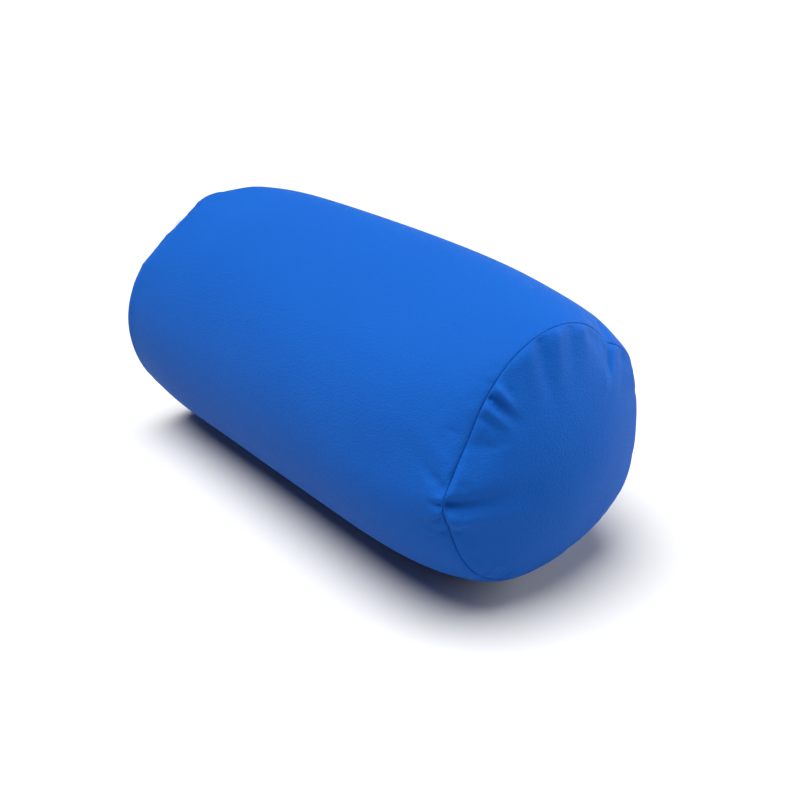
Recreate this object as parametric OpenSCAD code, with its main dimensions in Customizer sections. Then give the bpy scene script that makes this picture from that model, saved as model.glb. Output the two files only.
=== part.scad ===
// Bolster pillow: a sewn stretch-knit roll round an inner bag of foam beads.
// The roll lies along X with Z up, and the origin is the middle of the flat
// patch that it rests on. Lengths are in millimetres. A point of an outline is
// [radius, x]: its distance from the roll's axis, then its place along it.

/* [Size] */
// Diameter of the roll at its middle
roll_d = 160; // [140:5:200]
// Overall length, from one domed end to the other
roll_l = 300; // [260:10:400]
// How far the filled roll flattens under its own weight
sag = 4; // [3:0.5:6]
// How much the roll narrows towards its ends before the shoulders
barrel = 5; // [2:1:8]

/* [Cover] */
// Thickness of the stretch knit
cover_t = 0.7; // [0.5:0.1:0.9]
// How much smaller than the roll the sewn rings are, in radius
cover_shoulder = 13; // [11:1:16]
// How far each end panel domes out past its seam
cover_dome = 8; // [6:1:12]
// Width of the fabric turned in behind a seam
cover_allowance = 7; // [6:0.5:8]

/* [Inner bag] */
// Thickness of the woven bag
liner_t = 0.3; // [0.2:0.1:0.4]
// Width of the fabric turned in behind a seam
liner_allowance = 5; // [4:0.5:6]

/* [Stitching] */
// Diameter of the sewing thread
thread_d = 0.3; // [0.2:0.05:0.35]
// Stitches around each end seam
ring_stitches = 72; // [60:12:120]
// Pitch of the stitches along the side seams
side_pitch = 4; // [3:0.5:6]
// Half the length of the gap that was sewn up last, after filling
closing_half_l = 30; // [20:5:40]
// Where the side seams lie: 0 is +Y, 90 the top, 180 -Y and 270 the bottom
side_angle = 315; // [305:5:340]

/* [Care label] */
// Width of the folded ribbon
label_w = 22; // [15:1:30]
// How far it reaches down the left end panel
label_l = 32; // [20:2:36]
// Thickness of each of its two leaves
label_t = 0.25; // [0.2:0.05:0.3]
// Where it lies, counted as the side seams are
label_angle = 120; // [60:5:150]

/* [Hidden] */
$fn = 96;

cover_blue = [0.10, 0.40, 0.85];
thread_blue = [0.06, 0.27, 0.62];
liner_white = [0.90, 0.90, 0.88];
thread_white = [0.80, 0.80, 0.78];
label_white = [0.96, 0.96, 0.97];
bead_white = [0.97, 0.97, 0.95];

roll_r = roll_d / 2;
axis_z = roll_r - sag;
shoulder_power = 7;
body_steps = 12;
dome_steps = 8;

// Layers of a side seam, from the outside in: the wall, a gap for the thread,
// and the two turned-in plies with a slit between them
slit = 0.1;
thread_gap = thread_d + 0.1;
clearance = 0.2;
end_room = 2;
function upper_ply(t) = t + thread_gap;
function lower_ply(t) = upper_ply(t) + t + slit;
function seam_depth(t) = lower_ply(t) + t;
function seam_room(t) = seam_depth(t) + thread_d + clearance;

// An outline is [radius, seam_x, seam_r, dome, barrel]: the roll's radius, the
// place and radius of its end seams, the dome outside them and the barrel.
cover_outline = [roll_r, roll_l / 2 - cover_dome, roll_r - cover_shoulder, cover_dome, barrel];
// The bag has rounder ends, which clear the cover's turned-in seams.
liner_outline = inner_outline(cover_outline, seam_room(cover_t), cover_allowance + 1);
fill_outline = inner_outline(liner_outline, seam_room(liner_t), liner_allowance + 1);
function inner_outline(o, room, corner) = [o[0] - room, o[1] - corner, o[2] - corner,
    o[3] + corner - room, o[4]];

// Radius of the roll's side at x
function body_r(o, x) = let (u = abs(x) / o[1])
    o[0] - o[4] * pow(u, 2) - (o[0] - o[4] - o[2]) * pow(u, shoulder_power);
function body_slope(o, x) = body_r(o, x + 0.5) - body_r(o, x - 0.5);
// Place of the right end's dome at radius r
function dome_x(o, r) = o[1] + o[3] * (1 - pow(r / o[2], 2));

// The roll's side at a depth below its surface, from -reach to reach
function body_line(o, depth, reach) = [for (i = [-body_steps:body_steps])
    let (x = reach * sin(90 * i / body_steps)) [body_r(o, x) - depth, x]];
// The right dome at a depth below its surface, from radius r down to the axis
function dome_line(o, depth, r) = [for (i = [0:dome_steps])
    let (here = r * (1 - i / dome_steps)) [here, dome_x(o, here) - depth]];
function backwards(points) = [for (i = [len(points) - 1:-1:0]) points[i]];
function left_end(points) = [for (p = backwards(points)) [p[0], -p[1]]];
function rest_of(points) = [for (i = [1:len(points) - 1]) points[i]];

// Behind an end seam two plies lie face to face and slope in at 45 degrees.
// side is 1 for the body's ply, -1 for the end panel's, and 0 between them.
ply_step = sqrt(0.5);
function on_ply(o, along, side_t) = [o[2] - (along - side_t) * ply_step,
    o[1] - (along + side_t) * ply_step];
// Where a ply's inner face meets the inner face of its wall or dome, in
// thicknesses from the seam
wall_root = 1.7;
dome_root = 2;

// Turns an outline round the roll's axis
module turned(points) {
    translate([0, 0, axis_z]) rotate([0, 90, 0]) rotate_extrude() polygon(points);
}

// Puts +Z along the spoke of the roll at an angle
module spoke(angle) {
    translate([0, 0, axis_z]) rotate([angle - 90, 0, 0]) children();
}

// All of the space between two heights
module level(low, high) {
    translate([-roll_l, -roll_l, low]) cube([2 * roll_l, 2 * roll_l, high - low]);
}

// Height of the flat that an outline rests on
function floor_z(o) = roll_r - o[0];

// The wall of a tube, with its ends turned in, flattened where it rests
module tube_wall(o, t, allowance) {
    reach = o[1] - allowance;
    plies = [on_ply(o, allowance, 0), on_ply(o, allowance, t)];
    intersection() {
        turned(concat(body_line(o, 0, o[1]), plies,
            backwards(body_line(o, t, o[1] - wall_root * t)), left_end(plies)));
        level(floor_z(o), roll_d);
    }
    intersection() {
        turned(concat([[0, -reach]], body_line(o, t / 2, reach), [[0, reach]]));
        level(floor_z(o), floor_z(o) + t);
    }
}

// One layer of a side seam: a strip between two depths and two sides
module seam_layer(o, allowance, shallow, deep, from_y, to_y) {
    reach = o[1] - allowance - end_room;
    intersection() {
        turned(concat(body_line(o, shallow, reach), backwards(body_line(o, deep, reach))));
        spoke(side_angle) translate([-roll_l, from_y, 0])
            cube([2 * roll_l, to_y - from_y, roll_d]);
    }
}

// A sheet sewn into a tube. Its two long edges meet at a slit, turn in and lie
// flat behind the wall: one folds back on itself, the other passes below it.
module sewn_tube(o, t, allowance) {
    difference() {
        tube_wall(o, t, allowance);
        spoke(side_angle) translate([-roll_l, 0, 0]) cube([2 * roll_l, slit, roll_d]);
    }
    seam_layer(o, allowance, t / 2, seam_depth(t), -t, 0);
    seam_layer(o, allowance, lower_ply(t), seam_depth(t), -t / 2, allowance);
    seam_layer(o, allowance, t / 2, upper_ply(t) + t, slit, slit + t);
    seam_layer(o, allowance, upper_ply(t), upper_ply(t) + t, slit + t / 2, allowance);
}

// The round panel of the +X end, with its rim turned in
module end_panel(o, t, allowance) {
    turned(concat(dome_line(o, 0, o[2]), backwards(dome_line(o, t, o[2] - dome_root * t)),
        [on_ply(o, allowance, -t), on_ply(o, allowance, 0)]));
}

// One link of thread: a bar along X with two legs down -Y
module staple(span, legs) {
    half = span / 2;
    in = half - thread_d;
    linear_extrude(thread_d, center = true)
        polygon([[-half, thread_d], [half, thread_d], [half, -legs], [in, -legs],
            [in, 0], [-in, 0], [-in, -legs], [-half, -legs]]);
}

// Places children around the +X end seam, at a distance along the plies
module around_end(o, along, count, turn = 0) {
    for (i = [0:count - 1])
        spoke(360 * (i + turn) / count)
            translate([o[1] - along * ply_step, 0, o[2] - along * ply_step]) children();
}

// Lockstitch through both plies of the +X end seam
stitch_share = 0.7;
stitch_in = 2;
module end_stitches(o, t, count) {
    span = stitch_share * 2 * PI * o[2] / count;
    for (side = [0, 1])
        around_end(o, stitch_in, count, side / 2)
            rotate([0, 45, 0]) rotate([0, 0, 90 + 180 * side])
                translate([0, t, 0]) staple(span, t);
}

// Looper thread round the raw edges of the +X end seam
loop_l = 3;
module end_overlock(o, t, allowance, count) {
    around_end(o, allowance, count)
        rotate([0, 225, 0]) rotate([90, 0, 0]) staple(2 * (t + thread_d), loop_l);
}

// Places children along a side seam, outside the gap that was sewn up last
module along_side(o, allowance, depth, y) {
    reach = o[1] - allowance - end_room - side_pitch;
    for (x = [closing_half_l:side_pitch:reach], way = [-1, 1])
        spoke(side_angle) translate([way * x, y, body_r(o, x) - depth])
            rotate([0, -atan(body_slope(o, way * x)), 0]) children();
}

// Lockstitch through both plies of a side seam
module side_stitches(o, t, allowance) {
    along_side(o, allowance, seam_depth(t), stitch_in)
        rotate([-90, 0, 0]) staple(stitch_share * side_pitch, 2 * t + slit);
}

// Looper thread round the raw edges of a side seam
module side_overlock(o, t, allowance) {
    along_side(o, allowance, lower_ply(t) - slit / 2, allowance)
        rotate([0, 90, 0]) staple(2 * (t + thread_d) + slit, loop_l);
}

// Whip stitches across the slit, where the tube was sewn up after filling
closing_pitch = 3;
closing_w = 4;
module closing_stitches(o, t) {
    for (x = [-closing_half_l:closing_pitch:closing_half_l])
        spoke(side_angle) translate([x, slit / 2, body_r(o, x)])
            rotate([90, 0, 90]) staple(closing_w, t);
}

module cover_body() {
    color(cover_blue) sewn_tube(cover_outline, cover_t, cover_allowance);
}

module cover_end_right() {
    color(cover_blue) end_panel(cover_outline, cover_t, cover_allowance);
}

module cover_end_left() {
    mirror([1, 0, 0]) cover_end_right();
}

module cover_seam_thread_right() {
    color(thread_blue) end_stitches(cover_outline, cover_t, ring_stitches);
}

module cover_seam_thread_left() {
    mirror([1, 0, 0]) cover_seam_thread_right();
}

module cover_side_thread() {
    color(thread_blue) side_stitches(cover_outline, cover_t, cover_allowance);
}

module cover_overlock_right() {
    color(thread_blue) end_overlock(cover_outline, cover_t, cover_allowance, ring_stitches);
}

module cover_overlock_left() {
    mirror([1, 0, 0]) cover_overlock_right();
}

module cover_overlock_side() {
    color(thread_blue) side_overlock(cover_outline, cover_t, cover_allowance);
}

module cover_closing_thread() {
    color(thread_blue) closing_stitches(cover_outline, cover_t);
}

// A ribbon folded in two, whose leaves lie on the left end panel
module care_label() {
    o = cover_outline;
    low_r = o[2] - label_l;
    function leaf(height, from_r, to_r) = [for (i = [0:dome_steps])
        let (r = from_r + (to_r - from_r) * i / dome_steps) [r, dome_x(o, r) + height]];
    gap = label_t / 2;
    color(label_white) mirror([1, 0, 0]) intersection() {
        turned(concat(leaf(2 * label_t + gap, o[2], low_r), leaf(0, low_r, o[2]),
            leaf(label_t, o[2], low_r + label_t), leaf(label_t + gap, low_r + label_t, o[2])));
        spoke(label_angle) translate([0, -label_w / 2, 0]) cube([roll_l, label_w, roll_d]);
    }
}

module liner_body() {
    color(liner_white) sewn_tube(liner_outline, liner_t, liner_allowance);
}

module liner_end_right() {
    color(liner_white) end_panel(liner_outline, liner_t, liner_allowance);
}

module liner_end_left() {
    mirror([1, 0, 0]) liner_end_right();
}

module liner_seam_thread_right() {
    color(thread_white) end_stitches(liner_outline, liner_t, ring_stitches);
}

module liner_seam_thread_left() {
    mirror([1, 0, 0]) liner_seam_thread_right();
}

module liner_side_thread() {
    color(thread_white) side_stitches(liner_outline, liner_t, liner_allowance);
}

module liner_closing_thread() {
    color(thread_white) closing_stitches(liner_outline, liner_t);
}

// The beads, as one body
module bead_fill() {
    o = fill_outline;
    dome = rest_of(dome_line(o, 0, o[2]));
    color(bead_white) intersection() {
        turned(concat(left_end(dome), body_line(o, 0, o[1]), dome));
        level(floor_z(o), roll_d);
    }
}

cover_body();
cover_end_right();
cover_end_left();
cover_seam_thread_right();
cover_seam_thread_left();
cover_side_thread();
cover_overlock_right();
cover_overlock_left();
cover_overlock_side();
cover_closing_thread();
care_label();
liner_body();
liner_end_right();
liner_end_left();
liner_seam_thread_right();
liner_seam_thread_left();
liner_side_thread();
liner_closing_thread();
bead_fill();
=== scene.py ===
"""Bolster pillow: its soft pieces, materials, light and camera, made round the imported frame.

The roll lies along X. A point on its side has w, from -1 at the left seam to 1 at the right one, and
an angle a round the roll: 0 is +Y, 90 degrees the top and 180 degrees -Y. A point on an end panel has
rho, from 0 at its middle to 1 at the seam, and the same angle. Ends are 0, left, and 1, right.
Lengths are in metres.
"""
import math
import bpy
import numpy as np
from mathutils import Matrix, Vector


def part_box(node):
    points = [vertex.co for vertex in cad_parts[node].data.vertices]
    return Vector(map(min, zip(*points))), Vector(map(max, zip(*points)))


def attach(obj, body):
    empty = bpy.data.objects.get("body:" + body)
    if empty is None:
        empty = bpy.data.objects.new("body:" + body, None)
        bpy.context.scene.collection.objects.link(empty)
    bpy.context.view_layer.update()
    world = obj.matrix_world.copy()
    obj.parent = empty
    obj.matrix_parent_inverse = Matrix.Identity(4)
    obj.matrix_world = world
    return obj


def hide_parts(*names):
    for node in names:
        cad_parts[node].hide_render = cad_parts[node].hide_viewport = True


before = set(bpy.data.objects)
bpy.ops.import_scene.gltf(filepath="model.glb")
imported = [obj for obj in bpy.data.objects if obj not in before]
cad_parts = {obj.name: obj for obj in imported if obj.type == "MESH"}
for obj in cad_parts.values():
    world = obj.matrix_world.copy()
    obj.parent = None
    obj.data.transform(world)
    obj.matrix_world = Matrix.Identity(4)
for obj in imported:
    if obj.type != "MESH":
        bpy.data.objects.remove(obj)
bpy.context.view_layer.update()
MM = 0.001
LEFT, RIGHT = 0, 1

# ---------------------------------------------------------------- sizes, from the frame
BODY_LOW, BODY_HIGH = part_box("cover_body")
PANEL_LOW, PANEL_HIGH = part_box("cover_end_right")
ROLL_R = (BODY_HIGH.y - BODY_LOW.y) / 2
AXIS_Z = BODY_HIGH.z - ROLL_R
SEAM_X = BODY_HIGH.x
SEAM_R = (PANEL_HIGH.y - PANEL_LOW.y) / 2

# ---------------------------------------------------------------- camera
VIEW_AZIMUTH = math.radians(53.4)
VIEW_ELEVATION = math.radians(23.8)
VIEW_DISTANCE = 0.601
VIEW_LENS_MM = 47.6
AIM_RIGHT, AIM_UP = 17.8 * MM, -21.6 * MM


def make_camera():
    a, e = VIEW_AZIMUTH, VIEW_ELEVATION
    back = Vector((math.sin(a) * math.cos(e), -math.cos(a) * math.cos(e), math.sin(e)))
    right = Vector((math.cos(a), math.sin(a), 0))
    up = back.cross(right)
    middle = Vector((0, 0, AXIS_Z))
    target = middle + right * AIM_RIGHT + up * AIM_UP
    data = bpy.data.cameras.new("camera")
    data.lens = VIEW_LENS_MM
    data.sensor_width = 36
    camera = bpy.data.objects.new("camera", data)
    camera.location = middle + back * VIEW_DISTANCE
    camera.rotation_euler = (target - camera.location).to_track_quat("-Z", "Y").to_euler()
    bpy.context.scene.collection.objects.link(camera)
    bpy.context.scene.camera = camera


make_camera()


# ---------------------------------------------------------------- the soft shape
class Outline:
    """A roll's radius, each end seam's place and radius, the dome outside it, and the floor's height."""

    def __init__(self, radius, seam_x, seam_r, dome, floor):
        self.radius, self.floor = radius, floor
        self.seam_x, self.seam_r, self.dome = np.array(seam_x), np.array(seam_r), np.array(dome)

    def inner(self, room, corner):
        """The bag or fill inside this one, as the CAD places it."""
        return Outline(self.radius - room, self.seam_x - corner, self.seam_r - corner,
                       self.dome + corner - room, self.floor + room)


# The beads have settled towards the left end, which is fuller and leans; the right one is drawn in.
COVER = Outline(ROLL_R, (SEAM_X - 4.5 * MM, SEAM_X + 5 * MM), (SEAM_R + 6.8 * MM, SEAM_R - 3.8 * MM),
                (7.7 * MM, 18 * MM), 0.0)
BARREL = 0.41
SHOULDER = 7.0
LEAN = (16.2 * MM, 2.5 * MM)
BOW_Z, BOW_Y = 2.8 * MM, -6 * MM
DOME_POWER = 2.0
FLOOR_BLEND = 1.2 * MM

# Where the seams wander from a true ring: (angle in degrees, out from the axis in mm, along X in mm)
SEAM_SHIFTS = (
    ((0, 0, 0), (60, 0, 0), (85, -0.8, 0), (98, 2.6, 0), (108, 4.4, 0), (116, 3.2, 1), (125, 1.4, 1),
     (137, 1.4, 0), (152, 2.0, 0), (175, 2.2, 0), (197, 1.0, 0), (220, 0, 0), (270, 0, 0)),
    ((0, -0.6, 0), (14, -1.2, 0), (27, 0, 0), (38, 1.7, 0), (46, 1.2, 0), (56, 0, 0), (66, 2.2, 0),
     (80, 4.8, 0), (94, 5.6, 0), (115, 3.0, 0), (135, -1.6, 0), (152, -4.8, 0), (168, -2.6, 0),
     (180, 1.2, 0), (195, -1.2, 0), (240, 0, 0), (275, -0.8, 0), (300, 0.6, 0), (318, 2.4, 0),
     (332, 3.4, 0), (346, 1.4, 0)),
)


def loop_curve(points, a):
    """A smooth closed curve through (angle in degrees, value) points, read at angles a."""
    knots = np.radians([p[0] for p in points])
    values = np.array([p[1] for p in points], float)
    ends = np.append(knots, knots[0] + 2 * np.pi)
    spans = np.diff(ends)
    rises = np.diff(np.append(values, values[0])) / spans
    slopes = (rises * np.roll(spans, 1) + np.roll(rises, 1) * spans) / (spans + np.roll(spans, 1))
    at = np.mod(a - knots[0], 2 * np.pi) + knots[0]
    k = np.clip(np.searchsorted(ends, at, side="right") - 1, 0, len(knots) - 1)
    n = (k + 1) % len(knots)
    t = (at - ends[k]) / spans[k]
    return (values[k] * (1 + 2 * t) * (1 - t) ** 2 + values[n] * t ** 2 * (3 - 2 * t)
            + spans[k] * (slopes[k] * t * (1 - t) ** 2 - slopes[n] * t ** 2 * (1 - t)))


def seam_shift(end, a):
    """How far an end's seam is from its ring: out from the axis, and along X."""
    table = SEAM_SHIFTS[end]
    out = loop_curve([(p[0], p[1]) for p in table], a)
    along = loop_curve([(p[0], p[2]) for p in table], a)
    return out * MM, along * MM


def sagged(o, x, y, z, w):
    """Leans, bows and rests a roll: z is the height above its axis."""
    left, right = np.clip(-w, 0, 1) ** 2, np.clip(w, 0, 1) ** 2
    x = x + (left * LEAN[LEFT] + right * LEAN[RIGHT]) * z / ROLL_R
    z = z + BOW_Z * w ** 2 + AXIS_Z
    y = y + BOW_Y * w ** 2
    return np.stack([x, y, rested(z, o.floor)], -1)


def rested(z, floor):
    """Heights kept above a floor, with a soft edge to the patch that touches it."""
    over = z - floor
    return floor + (over + np.sqrt(over ** 2 + FLOOR_BLEND ** 2)) / 2 - FLOOR_BLEND / 8


def body_base(o, w, a):
    u = np.abs(w)
    end_r = np.where(w < 0, o.seam_r[LEFT], o.seam_r[RIGHT])
    end_x = np.where(w < 0, o.seam_x[LEFT], o.seam_x[RIGHT])
    r = o.radius - (o.radius - end_r) * ((1 - BARREL) * u ** SHOULDER + BARREL * u ** 2)
    x = w * end_x
    near = u ** 8
    for end, side in ((LEFT, w < 0), (RIGHT, w >= 0)):
        out, along = seam_shift(end, a)
        r = r + np.where(side, near * out, 0)
        x = x + np.where(side, near * along, 0)
    return sagged(o, x, r * np.cos(a), r * np.sin(a), w)


def panel_base(o, end, rho, a):
    way = 1 if end == RIGHT else -1
    out, along = seam_shift(end, a)
    r = rho * (o.seam_r[end] + out * rho ** 3)
    x = way * (o.seam_x[end] + o.dome[end] * (1 - rho ** DOME_POWER)) + along * rho ** 3
    return sagged(o, x, r * np.cos(a), r * np.sin(a), np.full_like(r, float(way)))


# ---------------------------------------------------------------- cloth simulation of the stuffed cover
SIM_ROUND = 160
SIM_BODY_ROWS = 80
SIM_PANEL_ROWS = 18
BODY_FIRST = SIM_PANEL_ROWS - 1
SIM_FRAMES = 20
SIM_PRESSURE = 4.0
SEAM_SHRINK = 0.03
SWELL = 1.2 * MM
CLOTH_CAP = 1.8 * MM


def angles(count):
    return np.arange(count) * 2 * np.pi / count


def sim_rows():
    """The simulated mesh's rows, from beside the left panel's middle to beside the right one's."""
    rho = np.arange(1, SIM_PANEL_ROWS + 1) / SIM_PANEL_ROWS
    w = np.linspace(-1, 1, SIM_BODY_ROWS + 1)
    a = angles(SIM_ROUND)[None, :]
    left = panel_base(COVER, LEFT, rho[:-1, None], a)
    body = body_base(COVER, w[:, None] * np.ones_like(a), a * np.ones((len(w), 1)))
    right = panel_base(COVER, RIGHT, rho[::-1][1:, None], a)
    return np.concatenate([left, body, right])


def grid_faces(rows, count, closed=False):
    """Quads between rows of points that go round; closed joins the last row to the first."""
    i = np.arange(count)
    j = (i + 1) % count
    faces = []
    for row in range(rows if closed else rows - 1):
        here, after = row * count, (row + 1) % rows * count
        faces.append(np.stack([here + i, here + j, after + j, after + i], -1))
    return np.concatenate(faces)


def new_mesh(name, points, faces):
    """A mesh object from arrays of points and of faces."""
    mesh = bpy.data.meshes.new(name)
    if not isinstance(faces, list):
        faces = faces.tolist()
    mesh.from_pydata(points.reshape(-1, 3).tolist(), [], faces)
    mesh.validate()
    thing = bpy.data.objects.new(name, mesh)
    bpy.context.scene.collection.objects.link(thing)
    return thing


def outward(rows):
    """Unit normals of rows of points that go round, pointing out of the roll."""
    across = np.roll(rows, -1, 1) - np.roll(rows, 1, 1)
    along = np.gradient(rows, axis=0)
    normal = np.cross(across, along)
    return normal / (np.linalg.norm(normal, axis=-1, keepdims=True) + 1e-12)


# Where each seam is gathered: (angle in degrees, half-width in degrees, share of the most)
GATHERS = (
    ((112, 16, 0.8), (131, 8, 0.6), (60, 12, 0.4), (318, 10, 0.5), (215, 14, 0.4)),
    ((180, 9, 1.0), (129, 6, 0.7), (62, 6, 0.9), (98, 8, 0.3), (318, 10, 0.5), (240, 12, 0.4)),
)
LEAST_GATHER = 0.12


def gathered(end, a):
    """How much a seam is gathered at angles a, from 0 to 1."""
    pull = np.full(len(a), LEAST_GATHER)
    for angle, half, share in GATHERS[end]:
        pull += share * np.exp(-(wrapped(a - np.radians(angle)) / np.radians(half)) ** 2)
    return np.clip(pull, 0, 1)


def wrapped(a):
    """Angles brought between half a turn back and half a turn on."""
    return np.mod(a + np.pi, 2 * np.pi) - np.pi


def sim_mesh(base):
    """The closed mesh that is simulated: the base rows, a little slack, with a pole at each end."""
    rows, count = base.shape[:2]
    start = base - outward(base) * SWELL
    poles = np.array([start[0].mean(0), start[-1].mean(0)])
    left_pole, right_pole = rows * count, rows * count + 1
    faces = grid_faces(rows, count).tolist()
    last = (rows - 1) * count
    for i in range(count):
        j = (i + 1) % count
        faces += [[left_pole, j, i], [right_pole, last + i, last + j]]
    return new_mesh("sim_cover", np.concatenate([start.reshape(-1, 3), poles]), faces)


def weigh_gathers(thing, count):
    """Marks how much each seam shrinks, and half as much the rows beside it."""
    gather = thing.vertex_groups.new(name="gather")
    for end, row in enumerate((BODY_FIRST, BODY_FIRST + SIM_BODY_ROWS)):
        pull = gathered(end, angles(count))
        for step, weight in ((-1, 0.5), (0, 1.0), (1, 0.5)):
            for i in range(count):
                gather.add([(row + step) * count + i], float(weight * pull[i]), "REPLACE")


def add_cloth(thing):
    cloth = thing.modifiers.new("cloth", "CLOTH")
    setting = cloth.settings
    setting.quality = 6
    setting.mass = 0.2
    setting.tension_stiffness = setting.compression_stiffness = 12
    setting.shear_stiffness = 6
    setting.bending_stiffness = 0.6
    setting.use_pressure = True
    setting.uniform_pressure_force = SIM_PRESSURE
    setting.effector_weights.gravity = 0
    setting.vertex_group_shrink = "gather"
    setting.shrink_min, setting.shrink_max = 0.0, SEAM_SHRINK
    cloth.point_cache.frame_start, cloth.point_cache.frame_end = 1, SIM_FRAMES


def stuffed_cover():
    """How far pressure and gathered seams move the cover from its base shape, as rows of points."""
    base = sim_rows()
    rows, count = base.shape[:2]
    thing = sim_mesh(base)
    weigh_gathers(thing, count)
    add_cloth(thing)
    scene = bpy.context.scene
    scene.frame_start, scene.frame_end = 1, SIM_FRAMES
    for at in range(1, SIM_FRAMES + 1):
        scene.frame_set(at)
    done = thing.evaluated_get(bpy.context.evaluated_depsgraph_get())
    moved = np.empty(len(done.data.vertices) * 3)
    done.data.vertices.foreach_get("co", moved)
    scene.frame_set(1)
    bpy.data.objects.remove(thing)
    shift = moved.reshape(-1, 3)[:rows * count].reshape(rows, count, 3) - base
    return capped(unswollen(shift))


def unswollen(shift):
    """A shift without what it has in common all round each row, so that the roll keeps its size."""
    a = angles(shift.shape[1])
    spoke = np.stack([np.zeros_like(a), np.cos(a), np.sin(a)], -1)
    out = (shift * spoke).sum(-1, keepdims=True)
    along_x = np.array([1.0, 0, 0])
    common = out.mean(1, keepdims=True) * spoke + shift[..., :1].mean(1, keepdims=True) * along_x
    return shift - common


def capped(shift):
    """A shift that never passes the cap, and is little changed well below it."""
    size = np.linalg.norm(shift, axis=-1, keepdims=True)
    return shift * CLOTH_CAP * np.tanh(size / CLOTH_CAP) / (size + 1e-9)


def cubic(p, t):
    """The smooth curve through four neighbouring values, between the middle two."""
    return p[1] + 0.5 * t * (p[2] - p[0] + t * (2 * p[0] - 5 * p[1] + 4 * p[2] - p[3]
                             + t * (3 * (p[1] - p[2]) + p[3] - p[0])))


def sampled(field, row, a):
    """Reads a field of rows that go round at fractional rows and at angles."""
    rows, count = field.shape[:2]
    turn = np.mod(a / (2 * np.pi) * count, count)
    r0, c0 = np.floor(row).astype(int), np.floor(turn).astype(int)
    rt, ct = (row - r0)[..., None], (turn - c0)[..., None]

    def across(step):
        at = np.clip(r0 + step, 0, rows - 1)
        return cubic([field[at, (c0 + k) % count] for k in (-1, 0, 1, 2)], ct)

    return cubic([across(k) for k in (-1, 0, 1, 2)], rt)


STUFFED = stuffed_cover()


MIDDLE_RHO = 0.25


def stuffed_body(w, a):
    return sampled(STUFFED, BODY_FIRST + (w + 1) / 2 * SIM_BODY_ROWS, a)


def stuffed_panel(end, rho, a):
    """The shift on a panel, which fades to its mean within MIDDLE_RHO of the middle."""
    inner = np.clip(rho * SIM_PANEL_ROWS - 1, 0, None)
    row = inner if end == LEFT else len(STUFFED) - 1 - inner
    fade = np.clip(rho / MIDDLE_RHO, 0, 1)[..., None]
    fade = fade * fade * (3 - 2 * fade)
    pole = STUFFED[0 if end == LEFT else -1].mean(0)
    return sampled(STUFFED, row, a) * fade + pole * (1 - fade)


# ---------------------------------------------------------------- seams, folds and lumps of the cover
ROUND = 480
KNIT_T = 0.7 * MM
ALLOWANCE = 7 * MM
GROOVE_DEPTH = (1.6 * MM, 1.7 * MM)
GROOVE_WIDTH = 4.2 * MM
GROOVE_STEPS = 9
# Right at a seam, within this distance, both surfaces are drawn in along one shared direction
GROOVE_SHARED = 0.35 * GROOVE_WIDTH
SLOPE = math.sqrt(0.5)

# Soft swellings and hollows that the beads leave: (w, angle in degrees, size along and round in mm,
# height in mm)
LUMPS = (
    (0.1, 140, 60, 45, 0.5), (-0.45, 165, 45, 40, -0.5), (0.55, 200, 40, 40, 0.5),
    (0.2, 230, 50, 35, -0.4), (-0.2, 95, 50, 45, 0.35), (0.75, 120, 30, 35, -0.4),
    (-0.75, 120, 30, 30, -1.0), (-0.8, 215, 30, 45, 0.8), (0.8, 320, 35, 40, 1.4),
    (0.75, 62, 30, 25, -1.2), (0.3, 20, 50, 50, 0.4), (-0.5, 340, 50, 45, -0.4),
    (0.8, 138, 45, 22, 1.6), (0.85, 172, 45, 20, -2.4),
)

# Folds that run from a seam, each gathered at one angle: (angle in degrees, lean of its far end in
# degrees, length in mm, width in mm at the seam and at its far end, height in mm, below 0 for a hollow)
RIGHT_PANEL_FOLDS = (
    (181, 4, 50, 3.0, 9, -3.2), (189, 3, 40, 5.0, 11, 1.8), (170, 8, 44, 7.0, 16, 1.3),
    (132, 1, 24, 1.5, 3.2, -2.7), (127.5, 3, 20, 1.5, 3, 1.8), (136.5, 2, 20, 1.6, 3.0, 1.7),
    (141, 2, 18, 1.4, 2.6, -1.1),
    (101, 10, 34, 2.6, 5.5, -1.4), (93, 8, 30, 2.8, 5, 1.0), (109, 8, 28, 3, 6, 0.7),
    (85, 5, 30, 2.6, 5, -0.8), (77, 3, 26, 2.5, 5, 0.5),
    (12, 0, 34, 16, 16, 0.4), (320, 0, 34, 20, 20, 1.7), (345, 0, 30, 14, 14, 0.6),
    (56, -4, 30, 1.6, 3.4, -0.9), (61, -4, 26, 1.8, 3.6, 0.6), (50, -6, 26, 1.8, 3.6, 0.6),
    (44, -6, 22, 1.6, 3.4, -0.6), (152, 4, 20, 3.0, 6, -0.5),
    (215, 3, 14, 2.0, 4, -0.4), (232, -4, 16, 2.2, 4, -0.4), (262, 4, 18, 3.4, 6, -0.3),
    (290, -4, 20, 3.2, 6, -0.3), (318, 4, 16, 3.0, 6, -0.3), (345, -3, 20, 3.4, 6, -0.3),
    (18, 4, 18, 2.6, 5, -0.4),
)
RIGHT_BODY_FOLDS = (
    (181, 0, 10, 1.4, 2.4, -2.2), (186, 14, 26, 1.8, 3.6, -0.9), (174, -16, 34, 2.4, 5.5, -0.9),
    (177.5, 0, 9, 1.0, 2.0, 0.9), (184.5, 8, 16, 1.5, 2.8, 0.9), (195, 12, 26, 2.0, 4, -0.6),
    (166, -18, 30, 3.0, 6, 0.6), (56, -3, 16, 1.8, 4, -0.9),
    (128, 0, 10, 1.6, 3.4, -0.5), (232, 3, 12, 2.2, 4, -0.3), (290, -3, 14, 3, 5, -0.3),
    (345, 3, 14, 3, 5, -0.3), (18, -3, 12, 2.4, 5, -0.4),
)
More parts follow.
